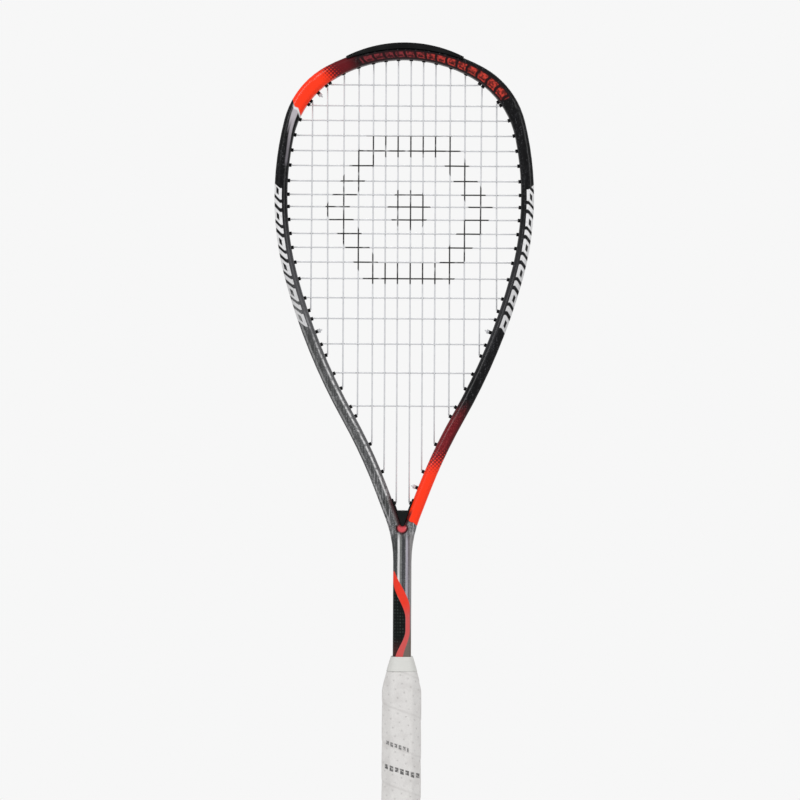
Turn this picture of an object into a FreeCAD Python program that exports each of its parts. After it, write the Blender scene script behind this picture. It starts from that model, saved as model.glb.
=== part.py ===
import FreeCAD, Part
import math
import os
from FreeCAD import Placement, Rotation, Vector

# A squash racket, butt end down: +Z runs along the racket to the tip, +X across the head,
# Y through it. The origin is the centre of the butt's end face. Lengths are in millimetres.

SIZES = [
    # the whole racket
    ("overall_length", 686.0, "butt end to tip"),
    ("head_width", 212.6, "outside the frame at the widest level"),
    # the outer line of the head, from the tip down to the shaft
    ("tip_radius", 135.0, "arc over the tip"),
    ("corner_radius", 69.0, "arc between the tip and the side"),
    ("inner_tip_radius", 112.5, "arc over the tip inside the head, where the tube swells"),
    ("inner_corner_radius", 73.5, "arc between the tip and the side inside the head"),
    ("side_radius", 256.0, "arc down the side"),
    ("widest_drop", 123.0, "tip of the frame down to the widest level"),
    ("side_turn", 15.2, "degrees that the side arc turns below the widest level"),
    ("leg_turn", 29.4, "steepest lean of a throat leg, in degrees"),
    ("flare_radius", 440.0, "reverse arc down a leg"),
    ("throat_turn", 21.0, "lean of the leg's straight stretch, in degrees"),
    ("straight_leg", 23.5, "length of that stretch"),
    ("throat_radius", 99.0, "reverse arc from a leg into the shaft"),
    ("crotch_half_gap", 1.3, "half the gap at the bottom of the V"),
    ("visible_shaft", 78.0, "bare shaft between the throat arc and the grip"),
    # the frame tube
    ("beam_width", 10.4, "tube in the plane of the strings, apart from its swell at the corners"),
    ("beam_depth", 19.0, "tube, front to back"),
    ("edge_radius", 4.4, "rounding of the tube's long edges"),
    ("wall", 1.3, "carbon wall"),
    ("shaft_width", 15.0, "two tubes side by side"),
    # the string groove, the grommets and their barrels
    ("groove_width", 5.6, "groove round the outside of the head"),
    ("groove_depth", 2.8, "depth of that groove"),
    ("strip_clearance", 0.1, "each side of a strip in the groove"),
    ("strip_base", 1.0, "thickness of a strip's base"),
    ("strip_height", 2.2, "height of a strip's two lips"),
    ("channel_width", 4.0, "room for the string between the lips"),
    ("barrel_diameter", 3.0, "outside of a barrel"),
    ("barrel_bore", 1.9, "string hole of a barrel"),
    ("hole_clearance", 0.1, "each side of a barrel in the frame"),
    ("barrel_reach", 2.0, "barrel past the tube's inner face on the sides"),
    ("tip_barrel_reach", 0.8, "the same over the tip"),
    ("hole_offset", 1.0, "the two rows of holes, off the middle plane"),
    ("hole_spacing", 4.2, "least distance between two holes along the frame"),
    ("strip_gap", 0.6, "gap between the bumper and a strip"),
    ("strip_tail", 6.0, "strip past its last hole"),
    # the bumper guard
    ("bumper_rise", 3.4, "guard outside the frame at the tip"),
    ("bumper_end_rise", 0.8, "the same at its ends"),
    ("bumper_reach", 56.0, "tip to each end, along the frame"),
    ("bumper_lip", 1.6, "how far it wraps down the front and back"),
    ("bumper_depth", 19.8, "guard, front to back"),
    ("bumper_rounding", 2.4, "its outer edges"),
    # the throat grommet
    ("insert_depth", 15.0, "insert in the V, front to back"),
    ("insert_height", 12.6, "bottom of the V up to its flat top"),
    ("ear_thickness", 1.0, "ears along the legs"),
    ("ear_height", 9.5, "flat top up to the end of the ears"),
    # strings
    ("string_diameter", 1.2, "18 gauge string"),
    ("weave_gap", 0.12, "between the corners of two strings' paths, less a string, at a crossing"),
    ("weave_bend", 5.0, "bend of a string over or under another"),
    ("inside_bend", 1.0, "bend where a string enters a barrel inside the head"),
    ("string_bend", 1.5, "bend where a string leaves a barrel outside"),
    ("string_lead", 0.4, "string past a barrel to the corner of its turn"),
    ("string_run_gap", 0.25, "string above the strip's base in the channel"),
    ("string_step", 8.0, "longest straight bit of an outside run"),
    ("knot_bead", 1.2, "string turned round itself in a knot"),
    ("knot_clearance", 0.02, "between that and the string's end inside it"),
    ("knot_pitch", 1.08, "one turn of a knot to the next"),
    ("knot_gap", 0.06, "barrel to its knot"),
    ("knot_tail", 1.5, "string's end past its knot"),
    # the handle
    ("pallet_width", 28.8, "eight-sided handle without its grip"),
    ("pallet_depth", 23.4, "the same, front to back"),
    ("pallet_bevel", 6.6, "corner cut off each side of a corner"),
    ("pallet_top_wall", 0.45, "foam left at the top of the taper"),
    ("taper_length", 28.5, "top of the grip down to its full width"),
    ("cap_flare", 3.6, "the butt is this much wider than the handle"),
    ("cap_floor", 3.0, "end wall of the butt cap"),
    ("cap_height", 22.0, "whole butt cap"),
    ("cap_wall", 1.0, "wall at the top of the cap"),
    ("grip_thickness", 1.8, "wrapped grip"),
    ("grip_top_thickness", 0.85, "the same where it is pared down at the top"),
    ("grip_overhang", 3.6, "grip up past the top of the pallets"),
    ("tape_width", 12.0, "finishing tape"),
    ("tape_thickness", 0.3, "the same"),
    ("plug_length", 20.0, "foam plug in each tube end"),
    ("staple_wire", 0.6, "staples"),
    ("staple_crown", 9.0, "width of a staple"),
    ("staple_leg", 4.5, "length of the cap staples' legs"),
    ("grip_staple_leg", 3.2, "length of the grip staple's legs"),
    ("staple_level", 15.0, "butt end up to the cap's staples"),
    ("grip_staple_level", 9.0, "butt end up to the grip's staple"),
]

# Gaps between neighbouring strings. They share out the width and the height of the head, so they
# act as proportions: mains from the middle line out to the side, crosses from the tip down.
MAIN_GAPS = [5.2, 10.1, 10.1, 11.9, 12.1, 12.5, 14.0, 19.7]
CROSS_GAPS = [21.6, 15.2, 13.1, 12.4, 12.4, 12.2, 12.6, 11.2, 9.9, 10.6, 11.4, 11.4, 12.0, 13.4,
              15.8, 17.0, 20.8, 23.7, 27.1, 85.5]


# ---------------------------------------------------------------- the document and its sheet

doc = FreeCAD.newDocument("squash_racket")
sheet = doc.addObject("Spreadsheet::Sheet", "sizes")
for row, (alias, value, note) in enumerate(SIZES, start=1):
    sheet.set("A%d" % row, note)
    sheet.set("B%d" % row, str(value))
    sheet.setAlias("B%d" % row, alias)
doc.recompute()


def size(alias):
    """A driving dimension, read back from the sheet."""
    return float(sheet.get(alias))


finished = []


def finish(obj, label):
    """Name a sub-part; its label names its file."""
    obj.Label = label
    finished.append(obj)
    return obj


# ---------------------------------------------------------------- the outer line of the frame

def normal_at(angle):
    return Vector(math.cos(angle), math.sin(angle), 0)


class FrameLine:
    """One side line of the frame's tube as tangent arcs and straight runs, in a plane whose x is
    across the head and whose y is along the racket. A place on it is its distance from the tip,
    positive down the right side and negative down the left; an offset is positive outward. The
    inner line is inset by the tube's width, and only its tip and corner have radii of their own."""

    def __init__(self, inset, tip, corner, foot):
        self.spans = []
        self.inset = inset
        self.length = 0.0
        self.angle = math.pi / 2
        self.end = Vector(0, size("overall_length") - size("bumper_rise") - inset, 0)
        side = size("side_radius") - inset
        first, second = self.corner_angles(tip, corner, side)
        lean, steep, throat = (math.radians(size(a)) for a in ("side_turn", "leg_turn", "throat_turn"))
        self.arc(tip, first)
        self.arc(corner, second)
        self.arc(side, 0)
        self.widest = self.length
        self.arc(side, -lean)
        self.arc(self.lower_side_radius(lean, steep, throat), -steep)
        self.arc(-size("flare_radius") - inset, -throat)
        self.straight(size("straight_leg"))
        self.arc(-size("throat_radius") - inset, 0)
        self.throat_end = self.length
        self.throat_level = self.end.y
        self.straight(self.end.y - foot)

    def corner_angles(self, tip, corner, side):
        """Where the corner arc meets the tip arc and the side arc: their three centres form a
        triangle whose sides are differences of the radii."""
        half_width = size("head_width") / 2 - self.inset
        offset = Vector(half_width - side, tip - size("widest_drop") + self.inset, 0)
        near, far, across = tip - corner, side - corner, offset.Length
        opening = math.acos((near ** 2 - across ** 2 - far ** 2) / (2 * far * across))
        second = math.atan2(offset.y, offset.x) % math.tau - opening
        meeting = offset + normal_at(second) * far
        return math.atan2(meeting.y, meeting.x), second

    def lower_side_radius(self, lean, steep, throat):
        """The radius that brings the leg to the shaft: what is left of the half width."""
        width = self.end.x - size("shaft_width") / 2 + self.inset
        width -= (size("flare_radius") + self.inset) * (math.cos(throat) - math.cos(steep))
        width -= size("straight_leg") * math.sin(throat)
        width -= (size("throat_radius") + self.inset) * (1 - math.cos(throat))
        return width / (math.cos(lean) - math.cos(steep))

    def arc(self, radius, angle):
        """An arc to the given normal angle; a negative radius curves the other way."""
        centre = self.end - normal_at(self.angle) * radius
        length = abs(radius * (angle - self.angle))
        self.spans.append((self.length, length, centre, radius, self.angle, angle))
        self.end = centre + normal_at(angle) * radius
        self.angle = angle
        self.length += length

    def straight(self, length):
        self.spans.append((self.length, length, self.end, 0.0, self.angle, self.angle))
        self.end = self.end + Vector(math.sin(self.angle), -math.cos(self.angle), 0) * length
        self.length += length

    def point(self, place, offset=0.0):
        span = [s for s in self.spans if s[0] <= abs(place) + 1e-9][-1]
        start, length, base, radius, before, after = span
        share = (abs(place) - start) / length
        angle = before + (after - before) * share
        if radius:
            spot = base + normal_at(angle) * (radius + offset)
        else:
            along = Vector(math.sin(angle), -math.cos(angle), 0)
            spot = base + along * (abs(place) - start) + normal_at(angle) * offset
        return spot if place >= 0 else Vector(-spot.x, spot.y, 0)

    def normal(self, place):
        return (self.point(place, 1.0) - self.point(place, 0.0)).normalize()

    def curves(self, begin, finish_place, offset):
        """Arcs and lines along the outer line, moved sideways by the offset."""
        marks = [sign * s[0] for s in self.spans for sign in (-1, 1)]
        inside = sorted({m for m in marks if begin + 1e-6 < m < finish_place - 1e-6})
        stops = [begin] + inside + [finish_place]
        found = []
        for one, two in zip(stops, stops[1:]):
            a, middle, b = (self.point(p, offset) for p in (one, (one + two) / 2, two))
            bow = middle.distanceToPoint((a + b) / 2)
            found.append(Part.Arc(a, middle, b) if bow > 1e-6 else Part.LineSegment(a, b))
        return found

    def place_where(self, test, low, high):
        """The place between two others where the test changes from true to false."""
        for _ in range(60):
            middle = (low + high) / 2
            low, high = (middle, high) if test(middle) else (low, middle)
        return (low + high) / 2


HALF_BEAM_DEPTH = size("beam_depth") / 2
FOOT = size("cap_floor")
line = FrameLine(0.0, size("tip_radius"), size("corner_radius"), FOOT)
inner_line = FrameLine(size("beam_width"), size("inner_tip_radius"), size("inner_corner_radius"), FOOT)


def band(begin, end, outer, inner):
    """A closed strip along the frame between two offsets."""
    over = line.curves(begin, end, outer)
    under = line.curves(begin, end, inner)
    joins = [Part.LineSegment(line.point(p, outer), line.point(p, inner)) for p in (begin, end)]
    return over + under + joins


def whole_outline(offset, foot_drop):
    """The frame's full outer line moved by the offset and closed across its foot."""
    ends = [line.point(p, offset) for p in (-line.length, line.length)]
    if not foot_drop:
        return line.curves(-line.length, line.length, offset) + [Part.LineSegment(*ends)]
    feet = [Vector(p.x, p.y - foot_drop, 0) for p in ends]
    sides = [Part.LineSegment(p, foot) for p, foot in zip(ends, feet)]
    return line.curves(-line.length, line.length, offset) + sides + [Part.LineSegment(*feet)]


def crotch(offset):
    """Where the inner line, moved by the offset, comes as near the middle as the V's rounding."""
    half_gap = size("crotch_half_gap")
    place = inner_line.place_where(lambda p: inner_line.point(p, offset).x > half_gap,
                                   inner_line.widest, inner_line.throat_end)
    lean = inner_line.normal(place)
    radius = half_gap / lean.x
    centre = Vector(0, inner_line.point(place, offset).y - radius * lean.y, 0)
    return place, centre, radius


def opening(offset):
    """The head's opening: the inner line, closed by a small arc at the bottom of the V."""
    place, centre, radius = crotch(offset)
    ends = [inner_line.point(p, offset) for p in (-place, place)]
    bottom = Part.Arc(ends[0], centre - Vector(0, radius, 0), ends[1])
    return inner_line.curves(-place, place, offset) + [bottom]


def inner_offset(place):
    """Offset of the inner line from a place on the outer one, straight across the tube."""
    if abs(place) < line.widest:
        spot, out = line.point(abs(place)), line.normal(abs(place))
        for _, _, centre, radius, before, after in inner_line.spans[:3]:
            across = spot - centre
            along = across.dot(out)
            depth = along - math.sqrt(max(0.0, radius ** 2 - across.dot(across) + along ** 2))
            hit = across - out * depth
            if after - 1e-6 <= math.atan2(hit.y, hit.x) <= before + 1e-6:
                return -depth
    return INNER


# ---------------------------------------------------------------- building blocks

def plate(name, curves, depth):
    """A flat piece: its outline in the plane of the strings, padded evenly front and back."""
    body = doc.addObject("PartDesign::Body", name)
    sketch = body.newObject("Sketcher::SketchObject", name + "_outline")
    plane = [f for f in body.Origin.OriginFeatures if f.Role == "XZ_Plane"][0]
    sketch.AttachmentSupport = [(plane, "")]
    sketch.MapMode = "FlatFace"
    sketch.addGeometry(curves, False)
    pad = body.newObject("PartDesign::Pad", name + "_pad")
    pad.Profile = sketch
    pad.Midplane = True
    pad.setExpression("Length", depth)
    body.Tip = pad
    doc.recompute()
    return body


def round_edges(body, radius, keep):
    """Round the edges of a plate's front and back faces that the keep test picks."""
    shape = body.Tip.Shape
    outermost = shape.BoundBox.YMax
    picked = []
    for number, edge in enumerate(shape.Edges, start=1):
        box = edge.BoundBox
        flat = abs(box.YMin - box.YMax) < 1e-6 and abs(abs(box.YMax) - outermost) < 1e-6
        if flat and keep(edge):
            picked.append("Edge%d" % number)
    base = body.Tip
    fillet = body.newObject("PartDesign::Fillet", body.Name + "_rounding")
    fillet.Base = (base, picked)
    fillet.setExpression("Radius", radius)
    body.Tip = fillet
    doc.recompute()
    return body


def above(level):
    """True for an edge that doesn't lie wholly at or under a level."""
    return lambda edge: edge.BoundBox.ZMax > level + 1e-6


def cut(name, base, tool):
    obj = doc.addObject("Part::Cut", name)
    obj.Base, obj.Tool = base, tool
    return obj


def fuse(name, pieces):
    obj = doc.addObject("Part::MultiFuse", name)
    obj.Shapes = pieces
    return obj


def common(name, pieces):
    obj = doc.addObject("Part::MultiCommon", name)
    obj.Shapes = pieces
    return obj


def box(name, corner, lengths):
    """A box whose three lengths may be numbers or expressions."""
    obj = doc.addObject("Part::Box", name)
    for side, length in zip(("Length", "Width", "Height"), lengths):
        if isinstance(length, str):
            obj.setExpression(side, length)
        else:
            setattr(obj, side, length)
    obj.Placement = Placement(corner, Rotation())
    return obj


def rod(name, start, direction, radius, height):
    """A round bar from a point, its radius and height given as expressions."""
    obj = doc.addObject("Part::Cylinder", name)
    obj.setExpression("Radius", radius)
    obj.setExpression("Height", height)
    obj.Placement = Placement(start, Rotation(Vector(0, 0, 1), direction))
    return obj


def in_space(flat, depth=0.0):
    """A point of the string plane as a point of the racket."""
    return Vector(flat.x, depth, flat.y)


# ---------------------------------------------------------------- where the strings run

INNER = -size("beam_width")
MAINS = range(1, len(MAIN_GAPS))
CROSSES = range(1, len(CROSS_GAPS))


def barrel_end(place):
    """Offset of a barrel's inner end: short over the tip, longer down the sides."""
    corner_start = line.spans[1][0]
    reach = size("tip_barrel_reach") if abs(place) < corner_start else size("barrel_reach")
    return inner_offset(place) - reach


def turn_offset(place):
    """Offset of the point where a string turns from its barrel into the bed."""
    return barrel_end(place) - size("string_lead")


def main_place(number, at_top):
    """Hole of a main string, counted from the middle, at the top or the bottom of the head."""
    across = sum(MAIN_GAPS[:number]) / sum(MAIN_GAPS) * line.point(line.widest, INNER).x
    if at_top:
        return line.place_where(lambda p: line.point(p, turn_offset(p)).x < across, 0, line.widest)
    return line.place_where(lambda p: line.point(p, turn_offset(p)).x > across,
                            line.widest, line.throat_end)


def cross_place(number):
    """Hole of a cross string, counted from the tip."""
    top = inner_line.point(0).y
    drop = sum(CROSS_GAPS[:number]) / sum(CROSS_GAPS) * (top - insert_top())
    return line.place_where(lambda p: line.point(p, turn_offset(p)).y > top - drop, 0, line.throat_end)


def insert_top():
    _, centre, radius = crotch(0.0)
    return centre.y - radius + size("insert_height")


def spread(places):
    """Move holes that come too near each other apart, along the frame."""
    order = sorted(places, key=places.get)
    for _ in range(200):
        for one, two in zip(order, order[1:]):
            lack = size("hole_spacing") - (places[two] - places[one])
            if lack > 0:
                places[one] -= lack / 2
                places[two] += lack / 2
    return places


def side_holes():
    """Every hole down one side, by name, as its place on the outer line."""
    places = {}
    for number in MAINS:
        places["main_top", number] = main_place(number, True)
        places["main_bottom", number] = main_place(number, False)
    for number in CROSSES:
        places["cross", number] = cross_place(number)
    return places


def add_ties(holes, side):
    """The holes where string ends come back in to be tied: between two others on the frame."""
    last = len(MAIN_GAPS) - 1
    neighbours = {("tie", "main"): widest_gap(holes, ("main_bottom", last), ("main_bottom", last - 1))}
    if side < 0:
        neighbours["tie", "cross"] = widest_gap(holes, ("cross", 1), ("cross", 2))
    else:
        final = len(CROSS_GAPS) - 1
        neighbours["tie", "cross"] = widest_gap(holes, ("cross", final), ("main_bottom", 1))
    holes.update(neighbours)
    return holes


def widest_gap(holes, first, last):
    """The middle of the widest free stretch of frame between two holes."""
    stops = sorted(p for p in holes.values() if holes[first] <= p <= holes[last])
    wide, start = max((b - a, a) for a, b in zip(stops, stops[1:]))
    return start + wide / 2


def all_holes():
    """Holes of both sides: {(side, kind, number): place}, the left ones negative."""
    found = {}
    for side in (-1, 1):
        for (kind, number), place in spread(add_ties(spread(side_holes()), side)).items():
            found[side, kind, number] = side * place
    return found


HOLES = all_holes()


def row_of(key):
    """Mains pass through the row of holes on the +Y side and crosses through the other."""
    is_main = key[1].startswith("main") or key[2] == "main"
    return size("hole_offset") * (1 if is_main else -1)


def bumper_end():
    """The guard stops midway between two holes, as near its wanted reach as they allow."""
    reach = size("bumper_reach")
    places = sorted(abs(p) for k, p in HOLES.items() if k[0] < 0)
    places_right = sorted(p for k, p in HOLES.items() if k[0] > 0)
    middles = [(a + b) / 2 for a, b in zip(places_right, places_right[1:])
               if all(abs((a + b) / 2 - p) > size("hole_spacing") / 2 - 1e-6 for p in places)]
    return min(middles, key=lambda p: abs(p - reach))


BUMPER_END = bumper_end()
STRIP_START = BUMPER_END + size("strip_gap")
STRIP_END = max(HOLES.values()) + size("strip_tail")


# ---------------------------------------------------------------- frame

def frame_blank():
    """The tube's outside: outline less the head's opening, its long edges rounded."""
    body = plate("frame_blank", whole_outline(0, 0) + opening(0), "sizes.beam_depth")
    return round_edges(body, "sizes.edge_radius", above(FOOT))


def frame_cavity():
    """The hollow: a wall's thickness in from every outer surface, and open at the foot."""
    wall = size("wall")
    body = plate("frame_cavity", whole_outline(-wall, FOOT) + opening(wall),
                 "sizes.beam_depth - 2 * sizes.wall")
    return round_edges(body, "sizes.edge_radius - sizes.wall", above(0))


def groove_block(name, extra, outside):
    """What the string groove takes out of the tube, with some extra all round."""
    bottom = -size("groove_depth") - extra
    curves = band(-STRIP_END - extra, STRIP_END + extra, outside, bottom)
    return plate(name, curves, "sizes.groove_width + 2 * %g" % extra)


DRILL_ROOM = 1.5        # how far a drill starts before the tube and ends beyond it


def frame_holes():
    """One drilled hole for each barrel, straight through both walls of the tube."""
    drills = []
    for key, place in sorted(HOLES.items()):
        start = in_space(line.point(place, DRILL_ROOM), row_of(key))
        inward = in_space(line.normal(place) * -1)
        length = 2 * DRILL_ROOM - inner_offset(place)
        drills.append(rod("drill", start, inward, "sizes.barrel_diameter / 2 + sizes.hole_clearance",
                          "%.9g" % length))
    obj = doc.addObject("Part::Compound", "frame_drills")
    obj.Links = drills
    return obj


blank = frame_blank()
outside_room = 2 * size("groove_depth")
groove = groove_block("groove", 0.0, outside_room)
middle_wall = box("middle_wall", Vector(-size("wall"), -HALF_BEAM_DEPTH, 0),
                  ["2 * sizes.wall", "sizes.beam_depth", crotch(0.0)[1].y])
tube_hollow = cut("tube_hollow", cut("plain_hollow", frame_cavity(), middle_wall),
                  groove_block("groove_wall", size("wall"), outside_room))
doc.recompute()
hollowed = cut("hollow_frame", cut("grooved_frame", blank, groove), tube_hollow)
frame = finish(cut("frame_drilled", hollowed, frame_holes()), "frame")


# ---------------------------------------------------------------- grommets

def barrels(name, keys):
    """Outsides and bores of the barrels at some holes."""
    tubes, bores = [], []
    floor = -size("groove_depth") + size("strip_base")
    for key in keys:
        place = HOLES[key]
        inward = in_space(line.normal(place) * -1)
        start = in_space(line.point(place, floor - size("strip_base") / 2), row_of(key))
        length = floor - size("strip_base") / 2 - barrel_end(place)
        tube = rod(name + "_barrel", start, inward, "sizes.barrel_diameter / 2", "%.9g" % length)
        mouth = in_space(line.point(place, floor + size("strip_base")), row_of(key))
        bore = rod(name + "_bore", mouth, inward, "sizes.barrel_bore / 2", "sizes.beam_width * 2")
        tubes.append(tube)
        bores.append(bore)
    return tubes, bores


def strip_body(name, begin, end, lip_top):
    """A strip's base and its two lips, with the string channel between them."""
    depth = size("groove_depth")
    base_top = size("strip_base") - depth
    block = plate(name + "_block", band(begin, end, lip_top, -depth),
                  "sizes.groove_width - 2 * sizes.strip_clearance")
    channel = plate(name + "_channel", band(begin - 1, end + 1, outside_room, base_top),
                    "sizes.channel_width")
    return block, channel


def grommet_strip(label, side):
    keys = sorted(k for k, p in HOLES.items()
                  if k[0] == side and abs(p) > BUMPER_END and not in_throat(k))
    ends = sorted((side * STRIP_START, side * STRIP_END))
    block, channel = strip_body(label, *ends, size("strip_height") - size("groove_depth"))
    tubes, bores = barrels(label, keys)
    throat_bore = barrels(label + "_throat", [(side, "main_bottom", 1)])[1]
    body = fuse(label + "_with_barrels", [cut(label + "_channelled", block, channel)] + tubes)
    return finish(cut(label, body, fuse(label + "_bores", bores + throat_bore)), label)


def in_throat(key):
    return key[1:] == ("main_bottom", 1)


left_strip = grommet_strip("left_grommet_strip", -1)
right_strip = grommet_strip("right_grommet_strip", 1)


# ---------------------------------------------------------------- bumper guard

def bumper_guard():
    """A guard that hugs the frame's outer edge, with a rib in the groove and a string channel."""
    lip = -size("bumper_lip")
    ends = [line.point(p, size("bumper_end_rise")) for p in (-BUMPER_END, BUMPER_END)]
    tip = Vector(0, size("overall_length"), 0)
    sides = [Part.LineSegment(a, line.point(p, lip)) for a, p in zip(ends, (-BUMPER_END, BUMPER_END))]
    curves = [Part.Arc(ends[0], tip, ends[1])] + sides + line.curves(-BUMPER_END, BUMPER_END, lip)
    body = plate("bumper_blank", curves, "sizes.bumper_depth")
    round_edges(body, "sizes.bumper_rounding", lambda edge: edge.BoundBox.ZMax > tip.y - 1e-3)
    rib, channel = strip_body("bumper_rib", -BUMPER_END, BUMPER_END, size("bumper_end_rise") / 2)
    keys = sorted(k for k, p in HOLES.items() if abs(p) < BUMPER_END)
    tubes, bores = barrels("bumper", keys)
    shell = cut("bumper_shell", body, blank)
    solid = fuse("bumper_with_barrels", [shell, rib] + tubes)
    doc.recompute()
    return finish(cut("bumper", solid, fuse("bumper_cuts", [channel] + bores)), "bumper_guard")


bumper = bumper_guard()


# ---------------------------------------------------------------- throat grommet

def throat_grommet():
    """A wedge that fills the V up to a flat top, with an ear and a barrel on each leg."""
    top = insert_top()
    ear_top = top + size("ear_height")
    ear_face = -size("ear_thickness")

    def place_at(level, offset):
        return inner_line.place_where(lambda p: inner_line.point(p, offset).y > level,
                                      inner_line.widest, inner_line.throat_end)

    foot, centre, radius = crotch(0.0)
    tip, shelf, ear = place_at(ear_top, 0.0), place_at(top, ear_face), place_at(ear_top, ear_face)
    curves = [Part.Arc(inner_line.point(-foot), centre - Vector(0, radius, 0), inner_line.point(foot)),
              Part.LineSegment(inner_line.point(-shelf, ear_face), inner_line.point(shelf, ear_face))]
    for side in (-1, 1):
        curves += inner_line.curves(*sorted((side * tip, side * foot)), 0.0)
        curves += inner_line.curves(*sorted((side * ear, side * shelf)), ear_face)
        curves.append(Part.LineSegment(inner_line.point(side * tip),
                                       inner_line.point(side * ear, ear_face)))
    body = plate("throat_wedge", curves, "sizes.insert_depth")
    tubes, bores = [], []
    for side in (-1, 1):
        place = HOLES[side, "main_bottom", 1]
        outward = in_space(line.normal(place))
        row = size("hole_offset")
        start = in_space(line.point(place, barrel_end(place)), row)
        length = -barrel_end(place) - size("groove_depth") - size("strip_clearance")
        tubes.append(rod("throat_barrel", start, outward, "sizes.barrel_diameter / 2", "%.9g" % length))
        start = in_space(line.point(place, barrel_end(place) - 2), row)
        bores.append(rod("throat_bore", start, outward, "sizes.barrel_bore / 2", "sizes.beam_width * 2"))
    fitted = cut("throat_fitted", body, blank)
    return finish(cut("throat", fuse("throat_with_barrels", [fitted] + tubes),
                      fuse("throat_bores", bores)), "throat_grommet")


throat = throat_grommet()


# ---------------------------------------------------------------- strings

SHARE_OF_RUN = 0.49     # the most of its shorter run that a bend takes up


def rounded_tube(points, bends, radius):
    """A tube along straight runs joined by tangent arcs. Each bend is as large as asked, or as
    its two runs leave room for. Returns the solid, its path length and its smallest bend."""
    start = points[0]
    direction = (points[1] - points[0]).normalize()
    ring = Part.Circle(start, direction, radius).toShape()
    walls = [Part.Face(Part.Wire(ring))]
    length, smallest, here = 0.0, math.inf, start
    for before, corner, after, bend in zip(points, points[1:], points[2:], bends[1:]):
        arriving, leaving = corner - before, after - corner
        room = SHARE_OF_RUN * min(arriving.Length, leaving.Length)
        arriving.normalize()
        leaving.normalize()
        turn = arriving.getAngle(leaving)
        if turn < 1e-4:
            continue
        reach = min(bend * math.tan(turn / 2), room)
        bend_radius = reach / math.tan(turn / 2)
        run = corner - arriving * reach - here
        walls.append(ring.extrude(run))
        ring = ring.translated(run)
        centre = corner + (leaving - arriving).normalize() * (bend_radius / math.cos(turn / 2))
        axis = arriving.cross(leaving).normalize()
        walls.append(ring.revolve(centre, axis, math.degrees(turn)))
        ring = ring.rotated(centre, axis, math.degrees(turn))
        here = corner + leaving * reach
        length += run.Length + bend_radius * turn
        smallest = min(smallest, bend_radius)
    run = points[-1] - here
    walls.append(ring.extrude(run))
    walls.append(Part.Face(Part.Wire(ring.translated(run))))
    length += run.Length
    skin = Part.makeCompound(walls)
    skin.sewShape()
    solid = Part.makeSolid(skin.Shells[0])
    if solid.Volume < 0:
        solid.reverse()
    return solid, length, smallest


def turn_point(key):
    place = HOLES[key]
    return line.point(place, turn_offset(place))


def string_lines():
    """Every main and cross as its two turning points in the string plane."""
    lines = {}
    for number in MAINS:
        for side in (-1, 1):
            lines["main", side * number] = (turn_point((side, "main_top", number)),
                                            turn_point((side, "main_bottom", number)))
    for number in CROSSES:
        lines["cross", number] = (turn_point((-1, "cross", number)), turn_point((1, "cross", number)))
    return lines


def meeting(first, second):
    """Where two lines cross, as their shares along each, or None if they don't."""
    a, b = first[0], first[1] - first[0]
    c, d = second[0], second[1] - second[0]
    area = b.x * d.y - b.y * d.x
    along_first = ((c.x - a.x) * d.y - (c.y - a.y) * d.x) / area
    along_second = ((c.x - a.x) * b.y - (c.y - a.y) * b.x) / area
    if 0 < along_first < 1 and 0 < along_second < 1:
        return along_first, along_second
    return None


STRING_RADIUS = size("string_diameter") / 2
RUN_LEVEL = size("strip_base") - size("groove_depth") + STRING_RADIUS + size("string_run_gap")
KNOT_LENGTH = size("knot_gap") + size("knot_bead") + size("knot_pitch") + size("knot_tail")
LINES = string_lines()
MAIN_ORDER = sorted(n for kind, n in LINES if kind == "main")


def woven_points(name):
    """The crossings along one string, lifted to one side or the other by turns. Beside the frame
    each string stays on the side of its own row of holes."""
    kind, number = name
    other = "cross" if kind == "main" else "main"
    lift = STRING_RADIUS + size("weave_gap") / 2
    found = []
    for mate in (k for k in LINES if k[0] == other):
        shares = meeting(LINES[name], LINES[mate])
        if not shares:
            continue
        main_number = number if kind == "main" else mate[1]
        cross_number = mate[1] if kind == "main" else number
        main_behind = (MAIN_ORDER.index(main_number) + cross_number) % 2 == 0
        near_edge = min(min(s, 1 - s) * (LINES[k][1] - LINES[k][0]).Length
                        for s, k in zip(shares, (name, mate))) < 2 * size("hole_spacing")
        main_behind = main_behind or near_edge
        height = lift if main_behind == (kind == "main") else -lift
        spot = LINES[name][0] + (LINES[name][1] - LINES[name][0]) * shares[0]
        found.append((shares[0], in_space(spot, height)))
    return [spot for _, spot in sorted(found, key=lambda f: f[0])]


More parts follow.
